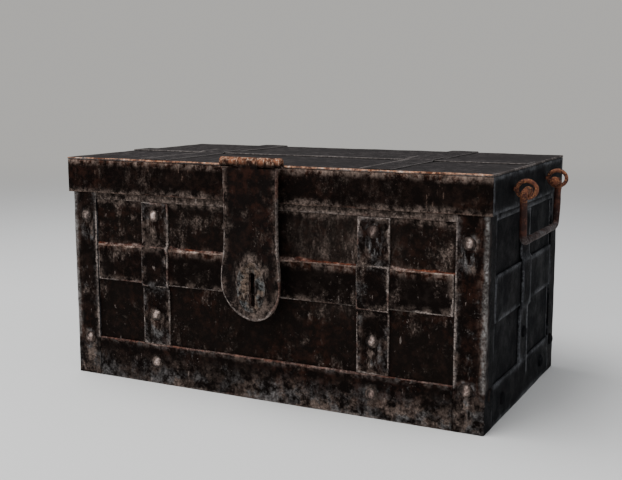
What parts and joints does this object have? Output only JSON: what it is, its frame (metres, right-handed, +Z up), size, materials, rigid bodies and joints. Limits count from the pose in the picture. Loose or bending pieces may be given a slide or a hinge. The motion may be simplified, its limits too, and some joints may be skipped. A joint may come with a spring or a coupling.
{
  "type": "strongbox",
  "caption": "Old iron strongbox bound with riveted straps, with a deep hinged lid, a swinging hasp over a lock staple and a bail handle at each end of the lid.",
  "frame": {"origin": "middle of the box on the ground, between the outer faces of the corner angles", "axes": "+X along the front to the viewer's right, +Y from the front to the back, +Z up"},
  "size_m": [0.6678, 0.378, 0.318],
  "materials": {
    "wall_plate": "blackened iron plate, dull, with dusty and rusty patches",
    "strap_iron": "blackened iron straps with pale worn arrises and rust",
    "rivet_iron": "rivet heads worn pale on top, dust round them",
    "lid_plate": "slate grey iron plate, dull",
    "lid_strap": "slate grey iron straps",
    "hasp_iron": "brown iron, copper-coloured rust on the barrel, worn pale at the end",
    "handle_iron": "orange and red-brown rust",
    "pin_iron": "dark rusted iron"
  },
  "bodies": {
    "strongbox": {"floor_tray": "wall_plate", "lock_staple": "pin_iron", "panel_front": "wall_plate", "panel_back": "wall_plate", "panel_left": "wall_plate", "panel_right": "wall_plate", "corner_angle_front_left": "strap_iron", "corner_angle_front_right": "strap_iron", "corner_angle_back_left": "strap_iron", "corner_angle_back_right": "strap_iron", "band_bottom_front": "strap_iron", "band_bottom_back": "strap_iron", "band_bottom_left": "strap_iron", "band_bottom_right": "strap_iron", "band_mid_front": "strap_iron", "band_mid_back": "strap_iron", "band_mid_left": "strap_iron", "band_mid_right": "strap_iron", "band_top_front": "strap_iron", "band_top_back": "strap_iron", "band_top_left": "strap_iron", "band_top_right": "strap_iron", "strap_front_left": "strap_iron", "strap_front_right": "strap_iron", "strap_left": "strap_iron", "strap_right": "strap_iron", "strap_hinge_left": "strap_iron", "strap_hinge_right": "strap_iron", "rivet_strap_left_1": "rivet_iron", "rivet_strap_left_2": "rivet_iron", "rivet_corner_left_1": "rivet_iron", "rivet_corner_left_2": "rivet_iron", "rivet_band_left": "rivet_iron", "rivet_strap_right_1": "rivet_iron", "rivet_strap_right_2": "rivet_iron", "rivet_corner_right_1": "rivet_iron", "rivet_corner_right_2": "rivet_iron", "rivet_band_right": "rivet_iron"},
    "lid": {"lid_plate": "lid_plate", "lid_skirt_front": "lid_plate", "lid_skirt_back": "lid_plate", "lid_skirt_left": "lid_plate", "lid_skirt_right": "lid_plate", "lid_strap_left": "lid_strap", "lid_strap_right": "lid_strap", "lid_strap_long": "lid_strap", "hinge_pin_left": "pin_iron", "hinge_pin_right": "pin_iron", "hasp_leaf": "hasp_iron", "hasp_pin": "pin_iron", "handle_eye_left_1": "handle_iron", "handle_eye_left_2": "handle_iron", "handle_eye_right_1": "handle_iron", "handle_eye_right_2": "handle_iron"},
    "hasp": {"hasp_plate": "hasp_iron", "hasp_boss": "hasp_iron"},
    "bail_left": {"handle_bail_left": "handle_iron"},
    "bail_right": {"handle_bail_right": "handle_iron"}
  },
  "joints": [
    {"name": "lid_hinge", "type": "hinge", "parent": "strongbox", "child": "lid", "pos_m": [0, 0.1777, 0.257], "axis": [-1, 0, 0], "range_deg": [0, 190]},
    {"name": "hasp_swing", "type": "hinge", "parent": "lid", "child": "hasp", "pos_m": [0, -0.1845, 0.3117], "axis": [-1, 0, 0], "range_deg": [-6, 257]},
    {"name": "bail_right_swing", "type": "hinge", "parent": "lid", "child": "bail_right", "pos_m": [0.3185, -0.003, 0.2808], "axis": [0, -1, 0], "range_deg": [-12, 197]},
    {"name": "bail_left_swing", "type": "hinge", "parent": "lid", "child": "bail_left", "pos_m": [-0.3185, -0.003, 0.2808], "axis": [0, 1, 0], "range_deg": [-12, 197]}
  ]
}
